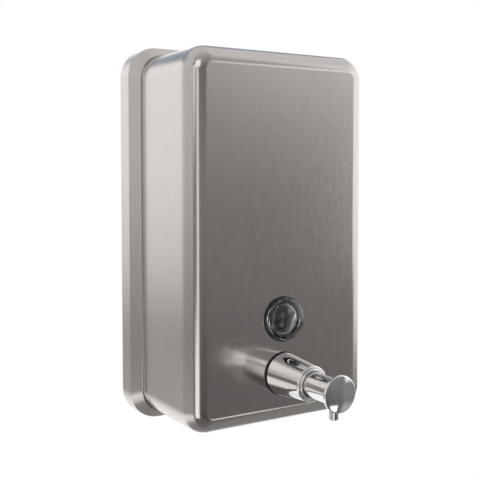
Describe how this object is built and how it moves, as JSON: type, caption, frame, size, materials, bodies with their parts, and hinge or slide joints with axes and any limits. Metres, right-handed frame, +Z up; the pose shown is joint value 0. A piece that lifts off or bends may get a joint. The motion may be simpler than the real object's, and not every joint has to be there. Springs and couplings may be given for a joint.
{
  "type": "wall mounted soap dispenser",
  "caption": "Vertical brushed steel soap dispenser with a stepped back pan, round sight window, chrome push pump with downward spout, and a locked filler lid on top.",
  "frame": {"origin": "on the wall, at the centre of the back pan and of the four wall-screw holes", "axes": "+X to the right as seen by the user, +Y into the wall, +Z up; the pump points along -Y"},
  "size_m": [0.1206, 0.121, 0.2086],
  "materials": {
    "brushed_steel": "satin stainless sheet with a fine vertical grain",
    "mill_steel": "plain cold-rolled stainless, 2B mill finish",
    "polished_steel": "polished stainless",
    "chrome": "bright chrome plate",
    "black_rubber": "smooth black nitrile rubber",
    "clear_acrylic": "clear moulded acrylic, polished",
    "white_acetal": "natural white acetal",
    "grey_plastic": "grey moulded plastic",
    "black_plastic": "black moulded plastic",
    "lock_brass": "machined brass"
  },
  "bodies": {
    "housing": {"tank_shell": "brushed_steel", "rear_pan": "brushed_steel", "tank_back": "mill_steel", "filler_collar": "mill_steel", "lock_keeper": "mill_steel", "hanger_channel": "mill_steel", "wall_plate": "mill_steel", "weld_nut": "mill_steel", "lock_screw": "mill_steel", "hinge_fixed_leaf": "brushed_steel", "hinge_pin": "mill_steel", "window_gasket": "black_rubber", "window_lens": "clear_acrylic", "window_washer": "black_rubber", "window_nut": "black_plastic", "valve_gasket": "black_rubber", "valve_sleeve": "chrome", "guide_bush": "chrome", "pump_cylinder": "white_acetal", "valve_washer": "black_rubber", "valve_nut": "white_acetal", "inlet_head": "white_acetal", "ball_stop": "polished_steel", "intake_tube": "white_acetal", "intake_strainer": "grey_plastic", "return_spring": "polished_steel"},
    "lid": {"filler_lid": "brushed_steel", "hinge_lid_leaf": "brushed_steel", "lid_gasket": "black_rubber", "lock_housing": "chrome", "lock_nut": "mill_steel"},
    "lock": {"lock_barrel": "lock_brass", "lock_cam": "mill_steel", "cam_screw": "mill_steel"},
    "plunger": {"plunger_tube": "chrome", "push_button": "chrome", "spout": "chrome", "outlet_valve": "black_rubber", "piston": "white_acetal", "piston_seal": "black_rubber"},
    "inlet_ball": {"inlet_ball": "polished_steel"}
  },
  "joints": [
    {"name": "plunger_push", "type": "slide", "parent": "housing", "child": "plunger", "axis": [0, 1, 0], "range_m": [0, 0.013], "stiffness_N_per_m": 600, "springref_m": -0.02, "deforming": ["return_spring"]},
    {"name": "lid_hinge", "type": "hinge", "parent": "housing", "child": "lid", "pos_m": [0, -0.0225, 0.1001], "axis": [-1, 0, 0], "range_deg": [0, 100]},
    {"name": "lock_turn", "type": "hinge", "parent": "lid", "child": "lock", "pos_m": [0, -0.043, 0.0995], "axis": [0, 0, -1], "range_deg": [0, 90]},
    {"name": "inlet_ball_lift", "type": "slide", "parent": "housing", "child": "inlet_ball", "axis": [0, 0, 1], "range_m": [0, 0.0015]}
  ]
}
